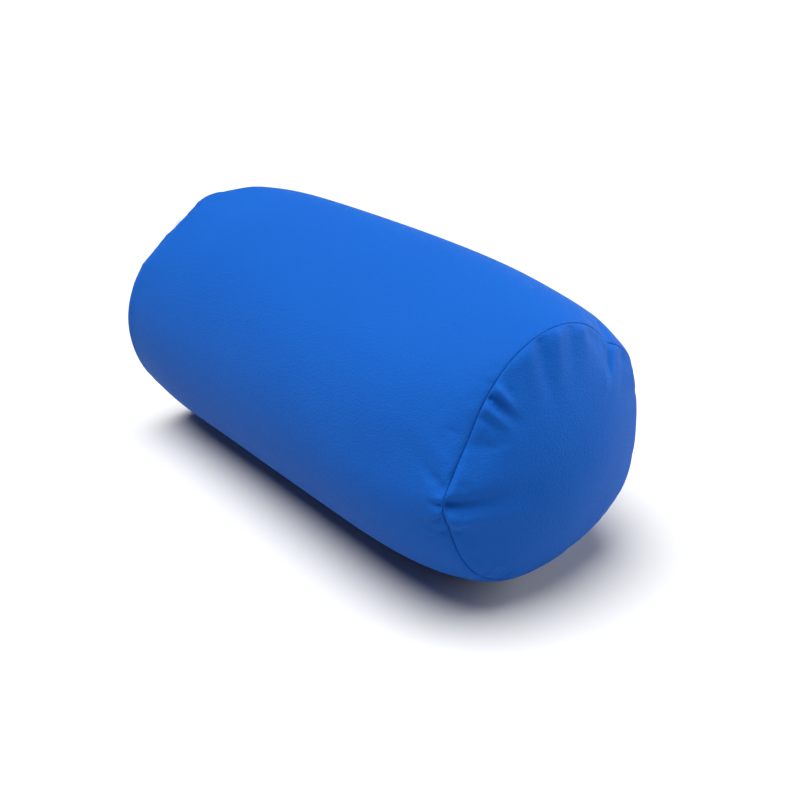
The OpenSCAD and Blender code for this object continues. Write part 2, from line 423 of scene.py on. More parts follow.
LEFT_PANEL_FOLDS = (
    (124, 3, 24, 1.8, 4, -1.0), (112, 5, 20, 1.8, 4, -0.8), (136, -4, 18, 1.8, 4, -0.6),
    (75, 5, 22, 2, 4, -0.6), (50, -5, 18, 2, 4, -0.5), (20, 4, 20, 2.2, 5, -0.6),
    (350, -4, 18, 2, 4, -0.5), (318, 4, 24, 2, 5, -0.8), (285, -4, 18, 2, 4, -0.5),
    (250, 4, 20, 2.2, 5, -0.6), (215, -5, 22, 2.2, 5, -0.7), (185, 4, 16, 2, 4, -0.5),
    (160, -3, 18, 1.8, 4, -0.6),
)
LEFT_BODY_FOLDS = (
    (121, -2, 13, 1.4, 3.0, -0.9), (129, -4, 12, 1.5, 3.5, -0.5), (134, -4, 12, 1.2, 3, 0.4),
    (98, 3, 10, 2, 4, -0.3), (140, -3, 10, 1.5, 3, -0.4), (75, 3, 12, 2.4, 5, -0.3),
    (50, -3, 12, 1.8, 4, -0.4), (318, 4, 14, 2, 4, -0.7), (215, -4, 12, 2, 4, -0.5),
    (165, 2, 10, 1.6, 3.5, -0.3),
)
PANEL_FOLDS = (LEFT_PANEL_FOLDS, RIGHT_PANEL_FOLDS)
BODY_FOLDS = (LEFT_BODY_FOLDS, RIGHT_BODY_FOLDS)
# The stitches hold the folds flat within about this distance
FOLD_HELD = 1.3 * MM


def folded(folds, gap, a, ring_r):
    """Height of the folds at a gap from their seam, where the ring at that gap has radius ring_r."""
    height = np.zeros(np.broadcast(gap, a).shape)
    held = 1 - np.exp(-(gap / FOLD_HELD) ** 2)
    for angle, lean, length, width, far_width, rise in folds:
        t = np.clip(gap / (length * MM), 0, 1)
        side = wrapped(a - np.radians(angle + lean * t)) * ring_r
        here = (width + (far_width - width) * t) * MM
        height += rise * MM * np.exp(-(side / here) ** 2) * (1 - t) ** 2 * (1 + 2 * t)
    return height * held


def lumped(w, a):
    height = np.zeros(np.broadcast(w, a).shape)
    for at_w, angle, long, wide, rise in LUMPS:
        x = (w - at_w) * SEAM_X / (long * MM)
        y = wrapped(a - np.radians(angle)) * ROLL_R / (wide * MM)
        height += rise * MM * np.exp(-(x * x + y * y))
    return height


def groove(end, gap):
    """How far a surface is drawn in beside a seam, as cloth that rolls over into it."""
    near = np.clip(1 - gap / GROOVE_WIDTH, 0, 1)
    return GROOVE_DEPTH[end] * (1 - np.sqrt(1 - near ** 2))


def seam_inward(end, a):
    """Unit directions from a seam towards where its plies run, inside the roll."""
    way = 1 if end == RIGHT else -1
    return np.stack([np.full_like(a, -way * SLOPE), -SLOPE * np.cos(a), -SLOPE * np.sin(a)], -1)


def toward_seam(end, gap, a, normal):
    """Directions to draw a surface in: its own, or at the seam the one that both surfaces share."""
    share = np.exp(-(gap / GROOVE_SHARED) ** 2)[..., None]
    inward = -normal * (1 - share) + seam_inward(end, a) * share
    return inward / np.linalg.norm(inward, axis=-1, keepdims=True)


ROW_GROWTH = 1.09


def seam_gaps(reach, coarsest):
    """Distances from a seam for a mesh's rows: round the groove's shoulder, then wider apart."""
    k = np.arange(GROOVE_STEPS + 1) / GROOVE_STEPS * np.pi / 2
    gaps = list(GROOVE_WIDTH * (1 - np.cos(k)))
    step = gaps[-1] - gaps[-2]
    while gaps[-1] + step < reach:
        gaps.append(gaps[-1] + step)
        step = min(step * ROW_GROWTH, coarsest)
    return np.array(gaps)


def body_rows(o, coarsest=3.4 * MM):
    """w for each row of a roll's side, close together near both seams."""
    left, right = (seam_gaps(o.seam_x[end], coarsest) / o.seam_x[end] for end in (LEFT, RIGHT))
    return np.concatenate([left - 1, (1 - right)[::-1]])


SIDE_SEAM = math.radians(315)
SIDE_GROOVE_DEPTH, SIDE_GROOVE_WIDTH = 0.9 * MM, 1.6 * MM
SIDE_GROOVE_POWER = 1.3
# Beside an end seam the body's rings grow by this share of the gap, up to the reach
SHOULDER_GROWTH, SHOULDER_REACH = 0.3, 20 * MM


def plain_side(o, w, a):
    """The side of the cover, the bag or the fill, with its lumps but no seams or folds."""
    rows = body_base(o, w, a) + stuffed_body(w, a)
    height = lumped(w, a) * (1 - w ** 8)
    return rows + outward(rows) * height[..., None]


def cover_side(w, a):
    """The outer face of the cover's tube, as rows that go round."""
    w, a = np.broadcast_arrays(w[:, None], a[None, :])
    rows = plain_side(COVER, w, a)
    normal = outward(rows)
    side_gap = np.abs(wrapped(a - SIDE_SEAM) * ROLL_R / SIDE_GROOVE_WIDTH)
    rows = rows - normal * (SIDE_GROOVE_DEPTH * np.exp(-side_gap ** SIDE_GROOVE_POWER))[..., None]
    for end, way in ((LEFT, -1), (RIGHT, 1)):
        gap = (1 - way * w) * COVER.seam_x[end]
        ring_r = COVER.seam_r[end] + SHOULDER_GROWTH * np.minimum(gap, SHOULDER_REACH)
        drawn = groove(end, gap) - folded(BODY_FOLDS[end], gap, a, ring_r)
        drawn = np.where(way * w > 0, drawn, 0)
        rows = rows + toward_seam(end, gap, a, normal) * drawn[..., None]
    rows[..., 2] = rested(rows[..., 2], 0)
    return rows


def panel_surface(end, rho, a):
    """The outer face of a cover's end panel, at any rho and a."""
    step = 1e-3

    def plain(s, t):
        r, angle = np.hypot(s, t), np.arctan2(t, s)
        return panel_base(COVER, end, r, angle) + stuffed_panel(end, r, angle)

    s, t = rho * np.cos(a), rho * np.sin(a)
    points = plain(s, t)
    normal = np.cross(plain(s + step, t) - plain(s - step, t),
                      plain(s, t + step) - plain(s, t - step))
    normal *= (1 if end == RIGHT else -1) / np.linalg.norm(normal, axis=-1, keepdims=True)
    ring_r = COVER.seam_r[end] * rho
    gap = COVER.seam_r[end] - ring_r
    drawn = groove(end, gap) - folded(PANEL_FOLDS[end], gap, a, ring_r)
    return points + toward_seam(end, gap, a, normal) * drawn[..., None]


PLY_STEPS = 5


def ply_rows(seam, inward, allowance):
    """Rows down the face that a seam's two turned-in plies share."""
    along = allowance * np.arange(1, PLY_STEPS + 1) / PLY_STEPS
    return seam[None] + inward[None] * along[:, None, None]


def off_ply(end, a):
    """Unit directions across an end seam's plies, towards the tube's."""
    way = 1 if end == RIGHT else -1
    return np.stack([np.full_like(a, -way * SLOPE), SLOPE * np.cos(a), SLOPE * np.sin(a)], -1)


def ply_backs(rows, end, a, thickness):
    """The other face of a ply: thickness is above 0 for the tube's ply and below it for the panel's."""
    return rows[::-1] + off_ply(end, a)[None] * thickness


# ---------------------------------------------------------------- meshes of the cover
SHARP_ANGLE = math.radians(50)
# A surface's back face starts where its two faces are this many thicknesses from the seam
BACK_START = 2.2


def finished(thing, *nodes, slot, material):
    """Rides, replaces and dresses a piece."""
    for face in thing.data.polygons:
        face.use_smooth = True
    thing.data.set_sharp_from_angle(angle=SHARP_ANGLE)
    thing.data.materials.append(material)
    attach(thing, "root")
    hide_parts(*nodes)


def tube_mesh(name, outer, w, o, thickness, allowance):
    """A closed tube of fabric whose outer face is given, with both ends turned in behind their seams."""
    a = angles(outer.shape[1])
    inner = outer - outward(outer) * thickness
    gap = np.minimum((1 + w) * o.seam_x[LEFT], (1 - w) * o.seam_x[RIGHT])
    keep = gap > BACK_START * thickness
    inner = inner[keep][::2]
    left = ply_rows(outer[0], seam_inward(LEFT, a), allowance)
    right = ply_rows(outer[-1], seam_inward(RIGHT, a), allowance)
    rows = np.concatenate([outer, right, ply_backs(right, RIGHT, a, thickness), inner[::-1],
                           ply_backs(left, LEFT, a, thickness)[::-1], left[::-1]])
    return new_mesh(name, rows, grid_faces(len(rows), len(a), closed=True))


def disc_points(count, reach):
    """rho, a and the ring's index of a square grid laid over a disc; the index is -1 inside its edge."""
    half = count // 8
    steps = np.arange(-half, half + 1) / half
    s, t = np.meshgrid(steps, steps, indexing="ij")
    size = np.maximum(np.abs(s), np.abs(t))
    wide = np.abs(s) >= np.abs(t)
    slope = np.where(wide, t / np.where(s == 0, 1, s), s / np.where(t == 0, 1, t))
    a = np.where(wide, slope * np.pi / 4 + np.where(s < 0, np.pi, 0),
                 np.pi / 2 - slope * np.pi / 4 + np.where(t < 0, np.pi, 0))
    ring = np.round(np.mod(a, 2 * np.pi) / (2 * np.pi) * count).astype(int) % count
    edge = size > 1 - 0.25 / half
    return size * reach, a, np.where(edge, ring, -1)


def capped_strip(name, rows, caps, flipped):
    """A mesh of rows that go round, whose first and last rows are closed by square grids of points."""
    count = rows.shape[1]
    points = [rows.reshape(-1, 3)]
    faces = [grid_faces(len(rows), count)]
    total = rows.shape[0] * count
    last = (len(rows) - 1) * count
    for (grid, ring), first, turned in ((caps[0], 0, True), (caps[1], last, False)):
        inside = ring < 0
        index = np.where(inside, 0, first + ring)
        index[inside] = total + np.arange(inside.sum())
        points.append(grid[inside])
        total += int(inside.sum())
        quads = np.stack([index[:-1, :-1], index[1:, :-1], index[1:, 1:], index[:-1, 1:]], -1)
        quads = quads.reshape(-1, 4)
        faces.append(quads[:, ::-1] if turned else quads)
    faces = np.concatenate(faces)
    return new_mesh(name, np.concatenate(points), faces[:, ::-1] if flipped else faces)


PANEL_RIM = 0.78
SIDES = ((RIGHT, "right"), (LEFT, "left"))


def rim_rows(o, end, coarsest):
    """rho for the rows of a panel's rim, close together near its seam."""
    return 1 - seam_gaps((1 - PANEL_RIM) * o.seam_r[end], coarsest) / o.seam_r[end]


def panel_mesh(name, end, o, surface, rim_rho, thickness, allowance, count):
    """A closed round panel of fabric with its rim turned in."""
    a = angles(count)
    outer = surface(rim_rho[:, None] * np.ones_like(a), a * np.ones((len(rim_rho), 1)))
    grid_rho, grid_a, ring = disc_points(count, rim_rho[-1])
    top = surface(grid_rho, grid_a)
    way = 1 if end == RIGHT else -1
    back = np.array([-way * thickness, 0, 0])
    plies = ply_rows(outer[0], seam_inward(end, a), allowance)
    clear = (1 - rim_rho) * o.seam_r[end] > BACK_START * thickness
    inner = (outer + back)[clear][::3]
    backs = ply_backs(plies, end, a, -thickness)
    rows = np.concatenate([inner[::-1], backs[::-1], plies[::-1], outer])
    start_rho = rim_rho[clear][::3][-1]
    below_rho, below_a, below_ring = disc_points(count, start_rho)
    below = surface(below_rho, below_a) + back
    return capped_strip(name, rows, ((below, below_ring), (top, ring)), end == LEFT)


# ---------------------------------------------------------------- materials
def node(tree, kind, settings=None, **inputs):
    """Adds a node. Inputs are named with _ for spaces; a socket is linked and a value is set."""
    made = tree.nodes.new(kind)
    for key, value in (settings or {}).items():
        setattr(made, key, value)
    for key, value in inputs.items():
        at = int(key[1:]) if key[0] == "i" and key[1:].isdigit() else key.replace("_", " ")
        if isinstance(value, bpy.types.NodeSocket):
            tree.links.new(value, made.inputs[at])
        else:
            made.inputs[at].default_value = value
    return made


def maths(tree, operation, a, b=0.0):
    return node(tree, "ShaderNodeMath", {"operation": operation}, i0=a, i1=b).outputs[0]


def new_material(name):
    material = bpy.data.materials.new(name)
    material.use_nodes = True
    tree = material.node_tree
    tree.nodes.clear()
    return material, tree


def surface_output(tree, shader):
    out = tree.nodes.new("ShaderNodeOutputMaterial")
    tree.links.new(shader.outputs[0], out.inputs["Surface"])


KNIT_BLUE = (0.0095, 0.101, 0.440, 1)
KNIT_DEEP = (0.007, 0.075, 0.360, 1)
BEAD = 1.2 * MM
WALE, COURSE = 0.75 * MM, 0.6 * MM
GRAIN = 1.0 * MM


def roll_coordinates(tree):
    """Places in the cloth: along the roll and round it, in metres."""
    place = node(tree, "ShaderNodeTexCoord").outputs["Object"]
    split = node(tree, "ShaderNodeSeparateXYZ", Vector=place)
    height = maths(tree, "SUBTRACT", split.outputs["Z"], AXIS_Z)
    angle = maths(tree, "ARCTAN2", height, split.outputs["Y"])
    return split.outputs["X"], maths(tree, "MULTIPLY", angle, ROLL_R), place


def panel_coordinates(tree):
    place = node(tree, "ShaderNodeTexCoord").outputs["Object"]
    split = node(tree, "ShaderNodeSeparateXYZ", Vector=place)
    return split.outputs["Y"], split.outputs["Z"], place


def knit_height(tree, along, across):
    """Height of a jersey knit: columns of V-shaped stitches, from 0 to 1."""
    column = maths(tree, "FRACT", maths(tree, "DIVIDE", across, WALE))
    ridge = maths(tree, "ABSOLUTE", maths(tree, "SUBTRACT", column, 0.5))
    slanted = maths(tree, "ADD", maths(tree, "DIVIDE", along, COURSE), ridge)
    loops = maths(tree, "SINE", maths(tree, "MULTIPLY", slanted, 2 * math.pi))
    cord = maths(tree, "SINE", maths(tree, "MULTIPLY", column, math.pi))
    return maths(tree, "ADD", maths(tree, "MULTIPLY", loops, 0.2), cord)


def knit_material(name, coordinates, blue, deep):
    """Smooth stretch knit: fine jersey loops, a soft grain, and slight changes of shade."""
    material, tree = new_material(name)
    along, across, place = coordinates(tree)
    loops = knit_height(tree, along, across)
    grain = node(tree, "ShaderNodeTexNoise", Vector=place, Scale=1 / GRAIN, Detail=2.0, Roughness=0.6)
    shade = node(tree, "ShaderNodeTexNoise", Vector=place, Scale=14.0, Detail=3.0, Roughness=0.5)
    spread = maths(tree, "ADD", maths(tree, "MULTIPLY", shade.outputs["Fac"], 0.5),
                   maths(tree, "MULTIPLY", grain.outputs["Fac"], 0.5))
    mix = node(tree, "ShaderNodeMix", {"data_type": "RGBA"}, Factor=spread)
    mix.inputs["A"].default_value = blue
    mix.inputs["B"].default_value = deep
    fine = node(tree, "ShaderNodeBump", Strength=0.35, Distance=0.15 * MM, Height=loops)
    rough = node(tree, "ShaderNodeBump", Strength=0.8, Distance=0.4 * MM, Height=grain.outputs["Fac"],
                 Normal=fine.outputs["Normal"])
    shader = node(tree, "ShaderNodeBsdfPrincipled", Base_Color=mix.outputs["Result"], Roughness=0.6,
                  Normal=rough.outputs["Normal"])
    shader.inputs["Specular IOR Level"].default_value = 0.05
    shader.inputs["Specular Tint"].default_value = (0.1, 0.45, 1.0, 1)
    shader.inputs["Sheen Weight"].default_value = 0.03
    shader.inputs["Sheen Roughness"].default_value = 0.3
    shader.inputs["Sheen Tint"].default_value = (0.2, 0.5, 1.0, 1)
    surface_output(tree, shader)
    return material


def thread_material(name, colour):
    """Twisted yarn: fine slanted plies and uneven shade."""
    material, tree = new_material(name)
    place = node(tree, "ShaderNodeTexCoord").outputs["Object"]
    twist = node(tree, "ShaderNodeTexWave", {"bands_direction": "DIAGONAL"}, Vector=place,
                 Scale=900.0, Distortion=1.5)
    shade = node(tree, "ShaderNodeTexNoise", Vector=place, Scale=400.0, Detail=2.0)
    mix = node(tree, "ShaderNodeMix", {"data_type": "RGBA"}, Factor=shade.outputs["Fac"])
    mix.inputs["A"].default_value = colour
    mix.inputs["B"].default_value = tuple(0.75 * c for c in colour[:3]) + (1,)
    bump = node(tree, "ShaderNodeBump", Strength=0.6, Distance=0.05 * MM, Height=twist.outputs["Fac"])
    surface_output(tree, node(tree, "ShaderNodeBsdfPrincipled", Base_Color=mix.outputs["Result"],
                              Roughness=0.5, Normal=bump.outputs["Normal"]))
    return material


def woven_material(name, colour, pitch, roughness):
    """A plain weave: warp and weft cross over and under at the pitch."""
    material, tree = new_material(name)
    place = node(tree, "ShaderNodeTexCoord").outputs["Object"]
    split = node(tree, "ShaderNodeSeparateXYZ", Vector=place)
    rate = 2 * math.pi / pitch
    waves = [maths(tree, "SINE", maths(tree, "MULTIPLY", split.outputs[axis], rate))
             for axis in "XYZ"]
    weave = maths(tree, "ADD", maths(tree, "MULTIPLY", waves[0], waves[1]),
                  maths(tree, "MULTIPLY", waves[1], waves[2]))
    soft = node(tree, "ShaderNodeTexNoise", Vector=place, Scale=60.0, Detail=3.0)
    mix = node(tree, "ShaderNodeMix", {"data_type": "RGBA"}, Factor=soft.outputs["Fac"])
    mix.inputs["A"].default_value = colour
    mix.inputs["B"].default_value = tuple(0.90 * c for c in colour[:3]) + (1,)
    bump = node(tree, "ShaderNodeBump", Strength=0.4, Distance=0.08 * MM, Height=weave)
    surface_output(tree, node(tree, "ShaderNodeBsdfPrincipled", Base_Color=mix.outputs["Result"],
                              Roughness=roughness, Normal=bump.outputs["Normal"]))
    return material


def bead_material():
    """Packed foam beads: round cells, with painted shade darkening the gaps between them."""
    material, tree = new_material("foam_beads")
    place = node(tree, "ShaderNodeTexCoord").outputs["Object"]
    cells = node(tree, "ShaderNodeTexVoronoi", Vector=place, Scale=1 / BEAD)
    # Painted shade: the grey falls from each bead's middle to its edge, so the gaps between beads look
    # shaded
    ramp = node(tree, "ShaderNodeMapRange", Value=cells.outputs["Distance"], To_Min=0.92, To_Max=0.66)
    colour = node(tree, "ShaderNodeCombineColor", Red=ramp.outputs[0], Green=ramp.outputs[0],
                  Blue=ramp.outputs[0])
    dome = maths(tree, "SUBTRACT", 1.0, cells.outputs["Distance"])
    bump = node(tree, "ShaderNodeBump", Strength=0.8, Distance=0.5 * MM, Height=dome)
    surface_output(tree, node(tree, "ShaderNodeBsdfPrincipled", Base_Color=colour.outputs[0],
                              Roughness=0.7, Normal=bump.outputs["Normal"]))
    return material


BODY_KNIT = knit_material("knit_body", roll_coordinates, KNIT_BLUE, KNIT_DEEP)
PANEL_KNIT = knit_material("knit_panel", panel_coordinates, KNIT_BLUE, KNIT_DEEP)

# ---------------------------------------------------------------- the cover
A = angles(ROUND)
BODY_W = body_rows(COVER)
cover_body = tube_mesh("soft_cover_body", cover_side(BODY_W, A), BODY_W, COVER, KNIT_T, ALLOWANCE)
finished(cover_body, "cover_body", slot="cover_knit", material=BODY_KNIT)
for end, side in SIDES:
    rim = rim_rows(COVER, end, 1.2 * MM)
    panel = panel_mesh("soft_cover_end_" + side, end, COVER, lambda rho, a: panel_surface(end, rho, a),
                       rim, KNIT_T, ALLOWANCE, ROUND)
    finished(panel, "cover_end_" + side, slot="cover_knit", material=PANEL_KNIT)

# ---------------------------------------------------------------- the inner bag and the beads
SEAM_ROOM = 3.1 * MM
SEAM_CORNER = 8 * MM
FILL_ROOM, FILL_CORNER = 1.8 * MM, 6 * MM
FILL_RIM_ROWS, FILL_RIM_STEP = 8, 1.6 * MM
PEBBLE = 0.3 * BEAD
LINER_T = 0.3 * MM
LINER_ALLOWANCE = 5 * MM
LINER = COVER.inner(SEAM_ROOM, SEAM_CORNER)
FILL = LINER.inner(FILL_ROOM, FILL_CORNER)
INNER_ROUND = 240


def plain_panel(o, end, rho, a):
    return panel_base(o, end, rho, a) + stuffed_panel(end, rho, a)


def make_liner():
    a = angles(INNER_ROUND)
    w = body_rows(LINER, 5 * MM)
    side = plain_side(LINER, *np.broadcast_arrays(w[:, None], a[None, :]))
    body = tube_mesh("soft_liner_body", side, w, LINER, LINER_T, LINER_ALLOWANCE)
    finished(body, "liner_body", slot="liner_fabric", material=LINER_CLOTH)
    for end, side in SIDES:
        panel = panel_mesh("soft_liner_end_" + side, end, LINER,
                           lambda rho, a: plain_panel(LINER, end, rho, a),
                           rim_rows(LINER, end, 3 * MM), LINER_T, LINER_ALLOWANCE, INNER_ROUND)
        finished(panel, "liner_end_" + side, slot="liner_fabric", material=LINER_CLOTH)


def make_fill():
    """The beads' outer face, pebbled by the beads in it."""
    a = angles(INNER_ROUND)
    w = body_rows(FILL, 3 * MM)
    rows = [plain_side(FILL, *np.broadcast_arrays(w[:, None], a[None, :]))]
    rim = 1 - np.arange(1, FILL_RIM_ROWS + 1) * FILL_RIM_STEP / FILL.seam_r[RIGHT]
    caps = []
    for end in (LEFT, RIGHT):
        ring = plain_panel(FILL, end, rim[:, None] * np.ones_like(a), a * np.ones((len(rim), 1)))
        rows.insert(0 if end == LEFT else len(rows), ring[::-1] if end == LEFT else ring)
        grid_rho, grid_a, index = disc_points(INNER_ROUND, rim[-1])
        caps.append((plain_panel(FILL, end, grid_rho, grid_a), index))
    rows = np.concatenate(rows)
    rng = np.random.default_rng(5)
    rows = rows + outward(rows) * rng.uniform(-PEBBLE, PEBBLE, rows.shape[:2] + (1,))
    fill = capped_strip("soft_bead_fill", rows, caps, False)
    finished(fill, "bead_fill", slot="foam_beads", material=BEADS)


# ---------------------------------------------------------------- sewing thread
THREAD_R = 0.15 * MM
STITCH_PITCH = 3 * MM
STITCH_IN = 2 * MM
OVERLOCK_PITCH = 2.6 * MM
OVERLOCK_REACH = 1.7 * MM
STITCH_POINTS, OVERLOCK_POINTS, CLOSING_POINTS = 8, 14, 13
# Above 1: how steeply a stitch's thread dives at its holes
STITCH_DIVE = 2.2
# The looper thread's distance inside the raw edge, and off the plies' faces
OVERLOCK_EDGE, OVERLOCK_FACE = 2.5 * THREAD_R, 1.6 * THREAD_R
CLOSING_HALF = 30 * MM
CLOSING_PITCH = 3 * MM
CLOSING_REACH = 2 * MM
CLOSING_R = 1.25 * THREAD_R
# The closing thread sinks into the slit by this much, within this distance of it
SLIT_SINK, SLIT_WIDTH = 0.7 * MM, 1.2 * MM
SIDE_SEAM_END = 6 * MM
PLY_GAP = 0.1 * MM


def tube_along(path, radius, closed=False, sides=6):
    """Points and faces of a thread that follows a path."""
    count = len(path)
    if closed:
        along = np.roll(path, -1, 0) - np.roll(path, 1, 0)
    else:
        along = np.gradient(path, axis=0)
    along /= np.linalg.norm(along, axis=1, keepdims=True) + 1e-12
    aside = np.cross(along, [0.36, 0.48, 0.8])
    aside /= np.linalg.norm(aside, axis=1, keepdims=True) + 1e-12
    third = np.cross(along, aside)
    turn = angles(sides)
    rings = (path[:, None] + radius * (np.cos(turn)[None, :, None] * aside[:, None]
                                       + np.sin(turn)[None, :, None] * third[:, None]))
    faces = grid_faces(count, sides, closed=closed).tolist()
    if not closed:
        faces += [list(reversed(range(sides))), [(count - 1) * sides + k for k in range(sides)]]
    return rings.reshape(-1, 3), faces


def thread_mesh(name, strands):
    """One mesh of many strands."""
    points, faces, first = [], [], 0
    for strand_points, strand_faces in strands:
        points.append(strand_points)
        faces += [[first + k for k in face] for face in strand_faces]
        first += len(strand_points)
    return new_mesh(name, np.concatenate(points), faces)


def seam_points(o, end, a, deep):
    """An end seam's line, at the bottom of its groove."""
    way = 1.0 if end == RIGHT else -1.0
    ends = np.full((3, len(a)), way)
    if end == LEFT:
        ends[1:] += 0.01 * np.array([[1], [2]])
    else:
        ends[:2] -= 0.01 * np.array([[2], [1]])
    rows = plain_side(o, ends, np.broadcast_to(a, ends.shape))
    return rows[0 if end == LEFT else -1] + seam_inward(end, a) * deep


def ring_stitches(o, end, deep, thickness):
    """Needle and bobbin threads of an end seam, which lock between its plies at each hole."""
    count = int(2 * np.pi * o.seam_r[end] / STITCH_PITCH)
    a = angles(count * STITCH_POINTS)
    line = seam_points(o, end, a, deep) + seam_inward(end, a) * STITCH_IN
    lift = (thickness + THREAD_R) * np.minimum(1, STITCH_DIVE * np.abs(np.sin(count * a / 2)))
    return [tube_along(line + off_ply(end, a) * (side * lift)[:, None], THREAD_R, closed=True)
            for side in (1, -1)]


def ring_overlock(o, end, deep, thickness, allowance):
    """Looper thread wound round the raw edges of an end seam."""
    count = int(2 * np.pi * o.seam_r[end] / OVERLOCK_PITCH)
    a = angles(count * OVERLOCK_POINTS)
    middle = allowance - OVERLOCK_REACH + OVERLOCK_EDGE
    along = middle + OVERLOCK_REACH * np.cos(count * a)
    lift = (thickness + OVERLOCK_FACE) * np.sin(count * a)
    line = seam_points(o, end, a, deep) + seam_inward(end, a) * along[:, None]
    return [tube_along(line + off_ply(end, a) * lift[:, None], THREAD_R, closed=True)]


def side_line(o, x, aside, depth):
    """Points along a side seam: x along the roll, aside from the slit, and depth below the face."""
    w = x / np.where(x < 0, o.seam_x[LEFT], o.seam_x[RIGHT])
    a = SIDE_SEAM - np.broadcast_to(aside, x.shape) / ROLL_R
    fan = np.stack([a - 0.02, a, a + 0.02], 1)
    rows = plain_side(o, np.broadcast_to(w[:, None], fan.shape), fan)
    across = rows[:, 2] - rows[:, 0]
    along = np.gradient(rows[:, 1], axis=0)
    normal = np.cross(across, along)
    normal /= np.linalg.norm(normal, axis=1, keepdims=True)
    return rows[:, 1] - normal * np.broadcast_to(depth, x.shape)[:, None]


def ply_depths(thickness):
    """Depths below the face of a side seam's upper ply's top and of its lower ply's bottom."""
    top = thickness + 2 * THREAD_R + PLY_GAP
    return top, top + 2 * thickness + PLY_GAP


def side_runs(o, allowance):
    """The two stretches of a side seam on either side of the gap that was sewn up last."""
    end = SEAM_X if o is COVER else SEAM_X - SEAM_CORNER
    reach = end - allowance - SIDE_SEAM_END
    return ((-reach, -CLOSING_HALF), (CLOSING_HALF, reach))


def side_stitches(o, thickness, allowance):
    """Needle and bobbin threads of a side seam."""
    top, bottom = ply_depths(thickness)
    middle, half = (top + bottom) / 2, (bottom - top) / 2 + THREAD_R
    strands = []
    for start, stop in side_runs(o, allowance):
        count = int((stop - start) / STITCH_PITCH)
        x = np.linspace(start, stop, count * STITCH_POINTS + 1)
        turn = np.arange(len(x)) * np.pi / STITCH_POINTS
        wave = half * np.minimum(1, STITCH_DIVE * np.abs(np.sin(turn)))
        for side in (1, -1):
            strands.append(tube_along(side_line(o, x, STITCH_IN, middle + side * wave), THREAD_R))
    return strands


def side_overlock(o, thickness, allowance):
    """Looper thread wound round the raw edges of a side seam."""
    top, bottom = ply_depths(thickness)
    middle, half = (top + bottom) / 2, (bottom - top) / 2 + OVERLOCK_FACE
    strands = []
    for start, stop in side_runs(o, allowance):
        count = int((stop - start) / OVERLOCK_PITCH)
        x = np.linspace(start, stop, count * OVERLOCK_POINTS + 1)
        turn = np.arange(len(x)) * 2 * np.pi / OVERLOCK_POINTS
        aside = allowance - OVERLOCK_REACH + OVERLOCK_EDGE + OVERLOCK_REACH * np.cos(turn)
        strands.append(tube_along(side_line(o, x, aside, middle + half * np.sin(turn)), THREAD_R))
    return strands


def closing_stitches(o, depth):
    """Whip stitches over the slit, where a tube was sewn up after filling."""
    strands = []
    t = np.linspace(0, 1, CLOSING_POINTS)
    aside = CLOSING_REACH * np.cos(np.pi * t)
    over = depth - 2.2 * THREAD_R * np.sin(np.pi * t) ** 0.6
    over = over + SLIT_SINK * np.exp(-(aside / SLIT_WIDTH) ** 2)
    over[0] = over[-1] = depth + 0.5 * MM
    for at in np.arange(-CLOSING_HALF, CLOSING_HALF + CLOSING_PITCH / 2, CLOSING_PITCH):
        x = at + CLOSING_PITCH * 0.5 * t
        strands.append(tube_along(side_line(o, x, aside, over), CLOSING_R))
    return strands


def make_threads():
    """Every thread, as one mesh for each seam."""
    jobs = {}
    layers = ((COVER, "cover", GROOVE_DEPTH[RIGHT], KNIT_T, ALLOWANCE),
              (LINER, "liner", 0.0, LINER_T, LINER_ALLOWANCE))
    for o, layer, deep, thickness, allowance in layers:
        for end, side in SIDES:
            jobs[layer + "_seam_thread_" + side] = ring_stitches(o, end, deep, thickness)
            if o is COVER:
                jobs["cover_overlock_" + side] = ring_overlock(o, end, deep, thickness, allowance)
        jobs[layer + "_side_thread"] = side_stitches(o, thickness, allowance)
        jobs[layer + "_closing_thread"] = closing_stitches(o, 0.2 * MM)
    jobs["cover_overlock_side"] = side_overlock(COVER, KNIT_T, ALLOWANCE)
    for name, strands in jobs.items():
        blue = name.startswith("cover")
        finished(thread_mesh("sewn_" + name, strands), name,
                 slot="cover_thread" if blue else "liner_thread",
                 material=BLUE_THREAD if blue else WHITE_THREAD)


# ---------------------------------------------------------------- the care label
LABEL_ANGLE = math.radians(123.5)
LABEL_W, LABEL_L, LABEL_T = 22 * MM, 32 * MM, 0.25 * MM
LABEL_STEPS, LABEL_ACROSS = 64, 24
# The ribbon's course: (share of its length, clear of the panel in mm, below the seam in mm)
LABEL_COURSE = ((0, -1.2, 2.6), (0.04, 0.0, 1.8), (0.08, 1.4, 0.7), (0.12, 2.8, 0.1),
                (0.16, 3.7, 0.9), (0.24, 3.9, 3.6), (0.52, 3.8, 12.4), (1, 4.2, 27.8))
# It buckles: its middle rises over the seam, its edges come down and lose a share of their clearance
LABEL_RIPPLE, LABEL_DROOP, LABEL_RIPPLE_W = 3.0 * MM, 0.6, 5.5 * MM
LABEL_RIPPLE_START = 0.04
LABEL_SOFTEN = (-0.03, -0.015, 0, 0.015, 0.03)
# Half the space between the two leaves, which closes in the last share of the length, at the fold
LABEL_BEND, LABEL_LEAST_BEND, LABEL_FOLD = 0.35 * MM, 0.6 * LABEL_T, 0.03
# The share of its length that is left out, inside the seam
LABEL_ROOT = 0.02


def label_course(share):
    """How far the ribbon stands clear of the panel and how far it has come below the seam, in metres."""
    at = [p[0] for p in LABEL_COURSE]
    stand = [np.interp(share + d, at, [p[1] for p in LABEL_COURSE]) for d in LABEL_SOFTEN]
    down = [np.interp(share + d, at, [p[2] for p in LABEL_COURSE]) for d in LABEL_SOFTEN]
    return np.mean(stand, 0) * MM, np.mean(down, 0) * MM


